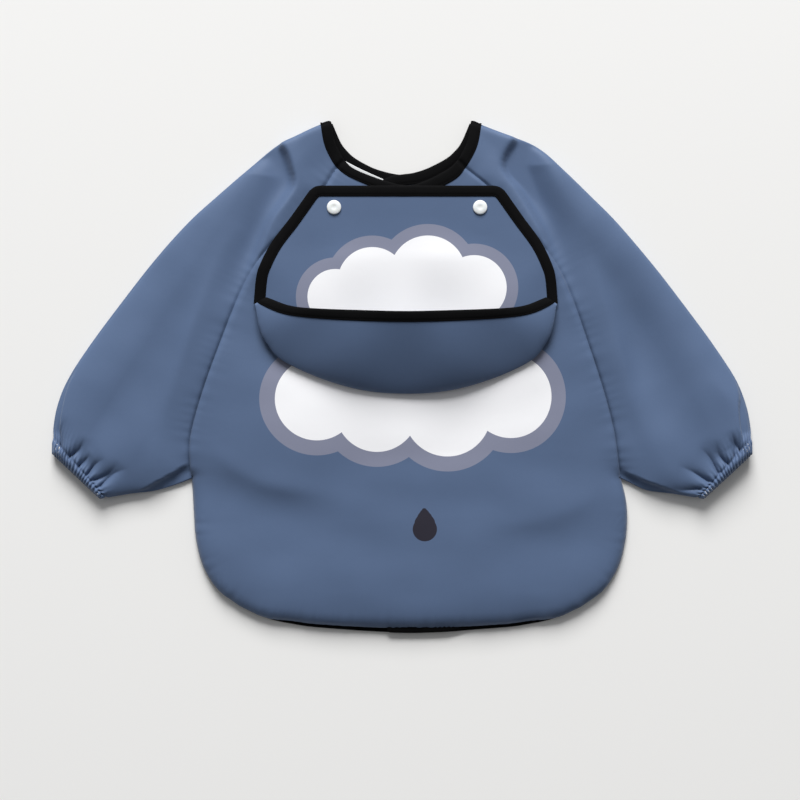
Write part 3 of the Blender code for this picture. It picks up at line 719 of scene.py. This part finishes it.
def rolls(half, lines):
    """A step down, past each line, from the rolled front layer to the one behind it."""
    total = np.zeros(len(half))
    for line in lines:
        far, side, share = to_line(half, smooth(line, 30))
        fade = ease(share / 0.18) * ease((1.0 - share) / 0.3)
        outside = np.where(side > 0, ease(far / 0.0013), 0.0)
        lip = np.where(side > 0, 0.0, np.exp(-far / 0.0035))
        total += fade * (STEP_LIP * lip - STEP_DOWN * outside)
    return total


def beside_body(half):
    """The sleeve tucks in under the body, along the lower part of the raglan seam."""
    far, _, share = to_line(half, RAGLAN)
    return -TUCK * np.exp(-far / TUCK_REACH) * ease((share - 0.35) / 0.40)


def pleats(half, side):
    """Creases that run up a sleeve from its gathered casing."""
    low, high = np.array(SLEEVE_UNDER[-1]), np.array(SLEEVE_TOP[-1])
    across = unit(high - low)
    inward = np.array([across[1], -across[0]])
    total = np.zeros(len(half))
    for k in range(PLEATS):
        share = (k + 0.5 + 0.22 * math.sin(5.1 * k + side)) / PLEATS
        foot = low + (high - low) * share + inward * CASING
        lean = (share - 0.5) * 1.2 + 0.22 * math.sin(7.3 * k + side)
        reach = 0.016 + 0.017 * abs(math.sin(2.7 * k + 1.3 * side))
        toward = inward * math.cos(lean) + across * math.sin(lean)
        bend = across * 0.004 * math.sin(3.9 * k + side)
        line = smooth([foot, foot + toward * reach * 0.5 + bend, foot + toward * reach], 8)
        far, _, along = to_line(half, line)
        width = 0.0016 + 0.0052 * along
        total -= PLEAT_DEPTH * (1.0 - ease(along)) * np.exp(-far / width)
    return total


def ruffles(around, from_cuff, side):
    """Fine ridges over the casing, dying away above it."""
    phase = 2 * pi * RUFFLES * around + 1.4 * np.sin(2 * pi * 2.3 * around + side)
    phase = phase + 0.5 * np.sin(from_cuff / 0.0016 + 9.0 * around)
    strength = RUFFLE_HEIGHT * np.exp(-np.clip(from_cuff - CASING, 0.0, None) / RUFFLE_REACH)
    return strength * np.sin(phase)


def casing_shape(from_cuff):
    """The casing bulges over its elastic, and is stitched down at its inner edge."""
    bulge = CASING_BULGE * np.sin(pi * np.clip(from_cuff / CASING, 0.0, 1.0))
    return bulge - CASING_GROOVE * np.exp(-((from_cuff - CASING) / CASING_GROOVE_REACH) ** 2)


def sleeve_front(seam, fold, from_cuff, side):
    """The front layer of a sleeve at -X: its flat places and their heights."""
    across = np.linspace(0.0, 1.0, FRONT_COLUMNS + 1)[None, :]
    flat = seam[:, None] + (fold - seam)[:, None] * across[..., None]
    neck_end = ease(1.0 - np.arange(len(seam)) / NECK_END_ROWS)[:, None]
    flat[..., 0] -= 0.0030 * np.sin(pi * across) * neck_end
    half = flat.reshape(-1, 2)
    up_arm = np.broadcast_to(from_cuff[:, None], flat.shape[:2])
    gathered = heights(flat, lambda p: pleats(p, side)) * ease(up_arm / CASING)
    lines = LEFT_ROLLS if side == 1 else RIGHT_ROLLS
    rolled = (rolls(half, lines) + beside_body(half)).reshape(up_arm.shape)
    z = heights(flat * (side, 1.0), soft_front) + rolled
    z += PUFF * np.sin(pi * across) ** 0.7 * np.exp(-(up_arm / PUFF_REACH) ** 2)
    z += gathered * np.sin(pi * across) ** 0.3 + ruffles(across, up_arm, side) + casing_shape(up_arm)
    return flat, no_lower(z, BACK_Z + 0.0016)


def sleeve_behind(fold, back, from_cuff, side):
    """The back layer of a sleeve at -X, from its fold to its seam: its flat places and their heights."""
    across = np.linspace(1.0, 0.0, BACK_COLUMNS + 1)[None, :]
    flat = back[:, None] + (fold - back)[:, None] * across[..., None]
    up_arm = np.broadcast_to(from_cuff[:, None], flat.shape[:2])
    z = BACK_Z - heights(flat, lambda p: pleats(p, side + 2.0)) * 0.35 * ease(up_arm / CASING)
    z += np.abs(ruffles(across, up_arm, side + 1.0)) * 0.6
    return flat, z


def inner_edges(seam, fold, back, front_z, back_z):
    """The columns at a sleeve's inner edges: closed down the arm, and allowances along the shoulder."""
    closed = ease((np.arange(len(seam)) - SHOULDER_ROWS + OPEN_ROWS) / OPEN_ROWS)[:, None, None]
    quarter = np.linspace(0.0, pi / 2, TURN_STEPS // 2 + 1)[:-1]
    inward = unit(seam - fold)
    start = turn_columns(seam, inward, front_z, back_z, quarter)
    end = turn_columns(back, inward, front_z, back_z, -quarter[::-1])
    start = start * closed + allowance(seam, front_z, -1, quarter) * (1 - closed)
    end = end * closed + allowance(back, back_z, 1, quarter[::-1]) * (1 - closed)
    return start, end


def sleeve_shape(side):
    """A sleeve's points and flat lie, as grids of row x column, and how far each row is from the cuff."""
    seam, fold, back = sleeve_lines()
    middle = (seam + fold) / 2
    walked = way_along(middle)
    from_cuff = walked[-1] - walked
    drawn_in = (1.0 - 0.045 * np.exp(-((from_cuff - CASING) / 0.0022) ** 2))[:, None]
    seam, fold, back = (middle + (line - middle) * drawn_in for line in (seam, fold, back))
    front, front_z = sleeve_front(seam, fold, from_cuff, side)
    behind, back_z = sleeve_behind(fold, back, from_cuff, side)
    over = np.linspace(pi / 2, -pi / 2, TURN_STEPS + 1)[1:-1]
    top_turn = turn_columns(fold, unit(fold - seam), front_z[:, -1], back_z[:, 0], over)
    start, end = inner_edges(seam, fold, back, front_z[:, 0], back_z[:, -1])
    points = np.concatenate([start, np.dstack([front, front_z]), top_turn,
                             np.dstack([behind, back_z]), end], 1)
    points[:, :, 0] *= side
    unrolled = 2 * fold[:, None] - behind
    flat = np.concatenate([np.repeat(seam[:, None], start.shape[1], 1), front,
                           np.repeat(fold[:, None], top_turn.shape[1], 1), unrolled,
                           np.repeat(unrolled[:, -1:], end.shape[1], 1)], 1)
    return points, flat, from_cuff


def turn_columns(edge, outward, high, low, angles):
    """Points round the turn of a folded edge, between its two layers."""
    middle, half = (high + low) / 2, (high - low) / 2
    plan = edge[:, None] + outward[:, None] * TURN_BULGE * np.cos(angles)[None, :, None]
    return np.dstack([plan, middle[:, None] + half[:, None] * np.sin(angles)[None]])


def allowance(edge, z, way, angles):
    """Points down (way -1) or up (way 1) the seam allowance that is turned inside an open edge."""
    plan = np.repeat(edge[:, None], len(angles), 1)
    return np.dstack([plan, z[:, None] + way * ALLOWANCE * (1.0 - np.sin(angles))[None]])


def shrunk(ring, inset, outward=0.0):
    """A ring of the sleeve drawn in by an inset, and moved along the arm."""
    centre = ring.mean(0)
    span = (ring.max(0) - ring.min(0)) / 2
    scale = np.array([1.0 - inset / np.hypot(span[0], span[1])] * 2 + [1.0 - inset / span[2]])
    along = unit(np.array([centre[0], centre[1] - 0.35, 0.0]))
    return centre + (ring - centre) * scale + along * outward


def row_at(from_cuff, share):
    """The row of a sleeve that is this share of its casing's depth from the cuff."""
    return int(np.argmin(np.abs(from_cuff - CASING * share)))


def sleeve(prefix, side):
    """A sleeve with its shoulder, turned in at the cuff to make the casing, and the elastic inside."""
    points, flat, from_cuff = sleeve_shape(side)
    deep, half_deep = row_at(from_cuff, 1.0), row_at(from_cuff, 0.5)
    lining = [shrunk(points[-1], 0.0004, 0.0006), shrunk(points[-1], 0.0011),
              shrunk(points[half_deep], 0.0016), shrunk(points[deep], 0.0008)]
    lie = [flat[-1], flat[-1], flat[half_deep], flat[deep]]
    made = cloth(prefix + "_arm", np.concatenate([points, np.stack(lining)]),
                 np.concatenate([flat, np.stack(lie)]), smock_cloth)
    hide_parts(prefix + "_shoulder", prefix + "_sleeve")
    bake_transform(made)
    band_rows = [row_at(from_cuff, share) for share in (0.88, 0.5, 0.15)]
    band = np.stack([shrunk(points[row], 0.0007) for row in band_rows])
    elastic = cloth(prefix + "_elastic_band", band, flat[band_rows], elastic_cloth, 0.0004)
    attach(elastic, prefix + "_sleeve")
    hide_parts(prefix + "_cuff_elastic")


# ---- the back
BACK_ACROSS, BACK_ALONG, BACK_SIDE_ROWS = 84, 120, 40
LOWER_RIPPLE, UPPER_RIPPLE = (0.00018, 0.030, 9.0), (0.00018, 0.030, 7.0)
CLIMB_X, CLIMB_WIDTH = 0.056, 0.028


def lower_height(flat):
    return BACK_Z + lumps(flat, *LOWER_RIPPLE)


def upper_height(flat):
    """The right back flap climbs onto the left one before it passes the centre."""
    climb = ease((CLIMB_X - flat[:, 0]) / CLIMB_WIDTH)
    return BACK_Z + (OVERLAP_Z - BACK_Z) * climb + lumps(flat, *UPPER_RIPPLE)


def back_half(prefix, side, neck, height):
    """One side of the back: the fixed panel and the flap, in one piece of cloth, with its binding."""
    turn_over = np.array([side, 1.0])
    hem = along_x(both_halves(BACK_HEM, 200), BACK_HEM[0][0], FLAP_PAST_CENTRE, BACK_ACROSS)
    outer = np.vstack([smooth(BACK_SIDE[::-1], BACK_SIDE_ROWS)[:-1],
                       smooth(RAGLAN_BACK[::-1], BACK_ALONG - BACK_SIDE_ROWS)])
    round_neck = along_x(smooth(neck, 200), neck[0][0], FLAP_PAST_CENTRE, 200)
    top = even_steps(np.vstack([outer[-1:], round_neck]), BACK_ACROSS)
    centre = np.linspace(hem[-1], top[-1], len(outer))
    flat = patch(hem, top, outer, centre)
    made = cloth(prefix + "_back", raised(flat * turn_over, height), flat, smock_cloth)
    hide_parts(prefix + "_back_panel", prefix + "_back_flap")
    bend_back(made)

    hem_corner = [hem[-1] + (-0.001, 0.0004), hem[-1] + (-0.0003, 0.0012)]
    neck_corner = [top[-1] + (-0.0003, -0.0012), top[-1] + (-0.001, 0.0)]
    path = np.vstack([smooth(BACK_SIDE[1:], 40), hem[1:-1], hem_corner, centre[2:-2], neck_corner,
                      round_neck[::-1][4:]])
    path = (even_steps(path, 520) * turn_over)[::side]
    binding = tape(prefix + "_back_binding", tape_rings(path, left_of(path), height))
    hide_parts(prefix + "_hem_binding", prefix + "_flap_binding")
    bend_back(binding)
    return made, binding


def bend_back(piece):
    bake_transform(piece)


CLOSURE_HALF, CLOSURE_THICKNESS, CLOSURE_Y = (0.010, 0.0175), 0.0006, 0.138
CLOSURE_LIFT, CLOSURE_NAP = 0.00045, (0.00012, 0.0011, 3.0)
LABEL_HALF, LABEL_THICKNESS = (0.019, 0.010), 0.0003
LABEL_PLACE, LABEL_TURN = (-0.0378, 0.1722), math.radians(-27.5)


def rectangle(half_width, half_depth, columns, rows):
    x, y = np.linspace(-half_width, half_width, columns), np.linspace(-half_depth, half_depth, rows)
    return np.dstack(np.meshgrid(x, y, indexing="ij"))


def closures():
    """The hook and loop tapes that hold the neck shut behind, one on each flap."""
    pieces = []
    middle = (BACK_Z + OVERLAP_Z) / 2
    for name, node, body, z in (("hook_patch", "hook_tape", "left_flap", middle - CLOSURE_LIFT),
                                ("loop_patch", "loop_tape", "right_flap", middle + CLOSURE_LIFT)):
        flat = rectangle(*CLOSURE_HALF, 41, 71)
        rim = (CLOSURE_HALF - np.abs(flat)).min(-1)
        nap = heights(flat, lambda p: lumps(p, *CLOSURE_NAP)) * ease((rim - 0.0016) / 0.001)
        sewn = -0.00010 * np.exp(-((rim - 0.0012) / 0.0004) ** 2)
        points = np.dstack([flat + (0.0, CLOSURE_Y), z + nap + sewn])
        made = cloth(name, points, flat, closure_cloth, CLOSURE_THICKNESS)
        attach(made, body)
        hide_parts(node)
        pieces.append(made)
    return pieces


def label():
    """A blank woven label, sewn in behind the neck, with its lower edge a little lifted."""
    flat = rectangle(*LABEL_HALF, 61, 33)
    cosine, sine = math.cos(LABEL_TURN), math.sin(LABEL_TURN)
    spun = flat @ np.array([[cosine, sine], [-sine, cosine]])
    waves = 0.00025 * (1 + heights(flat, lambda p: lumps(p, 1.0, 0.012, 4.0)))
    lift = waves + 0.0004 * ease((-flat[..., 1] - 0.004) / 0.006)
    points = np.dstack([spun + LABEL_PLACE, BACK_Z + 0.0017 + lift])
    made = cloth("neck_label", points, flat, label_cloth, LABEL_THICKNESS)
    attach(made, "left_flap")
    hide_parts("care_label")
    return made


# ---- the neck
def neck_binding():
    """One tape round the front of the neck, which turns over at each shoulder's tip."""
    path = both_halves(NECK_FRONT, 220)[::-1]
    front = tape_rings(path, left_of(path), soft_front)
    made = tape("neck_tape", np.concatenate([turn_at_tip(front, 0)[::-1], front, turn_at_tip(front, -1)]))
    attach(made, "smock")
    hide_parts("neck_binding")
    return made


def turn_at_tip(rings, end):
    """The tape's end, carried over the top of the shoulder and down to the back layer."""
    last, before = rings[end], rings[end + (4 if end == 0 else -4)]
    onward = unit((last - before).mean(0) * (1.0, 1.0, 0.0))
    middle_z = last[:, 2].mean()
    lift = last[:, 2] - middle_z
    drop = (middle_z - BACK_Z - 0.0022) / 2
    turned_rings = []
    for angle in np.linspace(0.0, pi, 9)[1:]:
        ring = last + onward * TURN_BULGE * math.sin(angle)
        ring[:, 2] = middle_z - drop * (1.0 - math.cos(angle)) + lift * math.cos(angle)
        ring += onward[None] * (lift * math.sin(angle))[:, None]
        turned_rings.append(ring)
    return np.array(turned_rings)


# ---- the food catcher
CATCHER_ACROSS, CATCHER_ALONG = 120, 96
CATCHER_SWELL, CATCHER_SWELL_SIZE, CATCHER_FLAT_EDGE = 0.003, 0.055, 0.04
POCKET_ACROSS, POCKET_UP = 150, 44
POCKET_PUCKER, POCKET_WAVE, POCKET_SEAM_LIFT = 0.0006, 0.0018, 0.0007
# Where the pocket lies on the flat cloth, clear of the prints.
POCKET_SHIFT = (0.0, -0.30)


def catcher_height(flat):
    """The food catcher lies flat along its top and its seam, and swells a little between them."""
    lifted = np.clip(0.4 + lumps(flat, 1.0, CATCHER_SWELL_SIZE, 12.0), 0.0, None)
    above_seam = to_line(turned(flat), smooth(CATCHER_SEAM, 30))[0]
    below_top = ease((0.140 - flat[:, 1]) / CATCHER_FLAT_EDGE)
    return CATCHER_Z + CATCHER_SWELL * lifted * below_top * ease(above_seam / CATCHER_FLAT_EDGE)


def catcher_panel():
    """The food catcher's sheet, and the binding round its top and sides."""
    left = smooth(CATCHER_SIDE[::-1], CATCHER_ALONG)
    top = np.linspace(left[-1], left[-1] * MIRROR, CATCHER_ACROSS + 1)
    flat = patch(both_halves(CATCHER_SEAM, CATCHER_ACROSS), top, left, left * MIRROR)
    made = cloth("catcher_sheet", raised(flat, catcher_height), flat, catcher_cloth, reverse=smock_cloth)
    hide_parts("catcher_top", "catcher_panel")
    bend_catcher(made)
    half_top = [(x, CATCHER_SIDE[0][1]) for x in (-0.0705, -0.066, -0.058, -0.040, 0.0)]
    path = both_halves(CATCHER_SIDE[::-1] + half_top, 420)[::-1]
    binding = tape("catcher_tape", tape_rings(path, left_of(path), catcher_height))
    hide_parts("catcher_top_binding", "catcher_left_binding", "catcher_right_binding")
    bend_catcher(binding)
    return made, binding


def bend_catcher(piece):
    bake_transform(piece)


def pocket_shape():
    """The pocket's wall, a quarter bowl from its seam up to its rim, as a grid of points."""
    seam, rim = both_halves(CATCHER_SEAM, POCKET_ACROSS), both_halves(CATCHER_RIM, POCKET_ACROSS)
    turn = np.linspace(0.0, pi / 2, POCKET_UP + 1)[None, :]
    share = np.linspace(0.0, 1.0, POCKET_ACROSS + 1)[:, None]
    from_end = np.minimum(share, 1.0 - share)
    plan = seam[:, None] + (rim - seam)[:, None] * (1.0 - np.cos(turn))[..., None]
    low = POCKET_END_LIFT + (POCKET_SEAM_LIFT - POCKET_END_LIFT) * ease(from_end * 16.0 / 3.0)
    high = POCKET_END_LIFT + POCKET_RISE * np.sin(pi * share) ** 0.8
    steep = 0.35 * np.sin(turn) + 0.65 * (1.0 - np.cos(turn)) ** 0.8
    z = CATCHER_Z + low + (high - low) * steep
    from_seam = turn / (pi / 2)
    pucker = POCKET_PUCKER * np.sin(share * 330 + 3 * np.sin(share * 41)) * np.exp(-from_seam / 0.10)
    wave = POCKET_WAVE * np.sin(share * 21 + 0.8) * np.sin(pi * from_seam)
    return np.dstack([plan, z + pucker + wave * ease(from_end * 6)])


def pocket():
    points = pocket_shape()
    flat = points[:, :, :2] + POCKET_SHIFT
    made = cloth("pocket_wall", points, flat, pocket_cloth)
    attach(made, "catcher")
    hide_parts("catcher_pocket")
    edge = points[:, -1]
    inward = unit(points[:, -6] - edge)
    up = unit(np.cross(inward, unit(np.gradient(edge, axis=0))))
    binding = tape("pocket_rim_tape", free_rings(edge, inward, up))
    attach(binding, "catcher")
    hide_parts("pocket_rim_binding")
    return made, binding


# A snap's cap and its post, as (radius, height): domed, with a rolled rim and a dimple.
CAP_PROFILE = [
    (0.0, 0.00205), (0.001, 0.00208), (0.0019, 0.00225), (0.0026, 0.0024), (0.0034, 0.00236),
    (0.0044, 0.00222), (0.0052, 0.002), (0.0057, 0.00185), (0.006, 0.0016), (0.0062, 0.00125),
    (0.0061, 0.00095), (0.0057, 0.0007), (0.0012, 0.0007), (0.0012, -0.0012), (0.0, -0.0012)]


def snap_cap(prefix, x):
    """A snap's round outer cap, and its finish for the snap's other parts, which stay as the CAD has them."""
    shape = bmesh.new()
    verts = [shape.verts.new((r, 0.0, z)) for r, z in CAP_PROFILE]
    edges = [shape.edges.new(pair) for pair in zip(verts, verts[1:])]
    bmesh.ops.spin(shape, geom=verts + edges, axis=(0, 0, 1), cent=(0, 0, 0), steps=64, angle=2 * pi)
    bmesh.ops.remove_doubles(shape, verts=shape.verts, dist=1e-6)
    bmesh.ops.recalc_face_normals(shape, faces=shape.faces)
    mesh = bpy.data.meshes.new(prefix + "_cap")
    shape.to_mesh(mesh)
    shape.free()
    mesh.shade_smooth()
    mesh.set_sharp_from_angle(angle=math.radians(50))
    mesh.materials.append(snap_plastic)
    made = place(prefix + "_cap", mesh, (x, SNAP_Y, CATCHER_Z + 0.0001))
    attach(made, "catcher_yoke")
    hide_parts(prefix + "_snap_cap")
    for part in ("socket", "stud", "backing"):
        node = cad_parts[prefix + "_snap_" + part]
        for material_slot in node.material_slots:
            material_slot.material = snap_plastic


def build():
    front = front_panel()
    neck = neck_binding()
    for prefix, side in (("left", 1), ("right", -1)):
        sleeve(prefix, side)
    hooks, loops = closures()
    sewn = {"left": [hooks, label()], "right": [loops]}
    for half in (("left", 1, LOWER_NECK, lower_height), ("right", -1, UPPER_NECK, upper_height)):
        back, binding = back_half(*half)
    panel, catcher_tape = catcher_panel()
    wall, rim_tape = pocket()
    for prefix, x in (("left", -SNAP_X), ("right", SNAP_X)):
        snap_cap(prefix, x)


build()


# ---- floor, light and camera
FLOOR_Z, FLOOR_SIZE = -0.0006, 6.0
KEY_PLACE, KEY_SIZE, KEY_POWER = (-0.4, 7.0, 4.4), 4.2, 990.0
SKY_MIDDLE, SKY_SLOPE = 0.27, 0.22
CAMERA_DISTANCE, CLOTH_LEVEL = 1.60, 0.012
VIEW_WIDTH, VIEW_CENTRE = 0.6936, (-0.0061, -0.0191)


def floor():
    bpy.ops.mesh.primitive_plane_add(size=FLOOR_SIZE, location=(0.0, 0.0, FLOOR_Z))
    plane = bpy.context.object
    plane.name = "floor"
    material = bpy.data.materials.new("floor")
    put(shader_of(material)[1], {"Base Color": (0.86, 0.855, 0.84, 1.0), "Roughness": 0.9})
    plane.data.materials.append(material)


def lights():
    """A soft sky that is brighter towards the neck, and one large soft light on that side."""
    world = bpy.data.worlds.new("studio")
    bpy.context.scene.world = world
    world.use_nodes = True
    tree = world.node_tree
    sky = tree.nodes["Background"]
    put(sky, {"Color": (0.97, 0.98, 1.0, 1.0)})
    towards = add_node(tree, "ShaderNodeSeparateXYZ")
    tree.links.new(add_node(tree, "ShaderNodeTexCoord").outputs["Generated"], towards.inputs[0])
    strength = maths(tree, "MULTIPLY_ADD", towards.outputs["Y"], SKY_SLOPE, SKY_MIDDLE)
    tree.links.new(strength, sky.inputs["Strength"])
    key = bpy.data.lights.new("key", "AREA")
    key.size = KEY_SIZE
    key.energy = KEY_POWER
    holder = place("key", key, KEY_PLACE)
    holder.rotation_euler = (-Vector(KEY_PLACE)).to_track_quat("-Z", "Y").to_euler()


def camera():
    """A camera straight above, whose view has this width at the level of the cloth."""
    data = bpy.data.cameras.new("camera")
    data.lens = data.sensor_width * CAMERA_DISTANCE / VIEW_WIDTH
    holder = place("camera", data, (*VIEW_CENTRE, CAMERA_DISTANCE + CLOTH_LEVEL))
    bpy.context.scene.camera = holder


floor()
lights()
camera()
bpy.context.scene.view_settings.view_transform = "Standard"
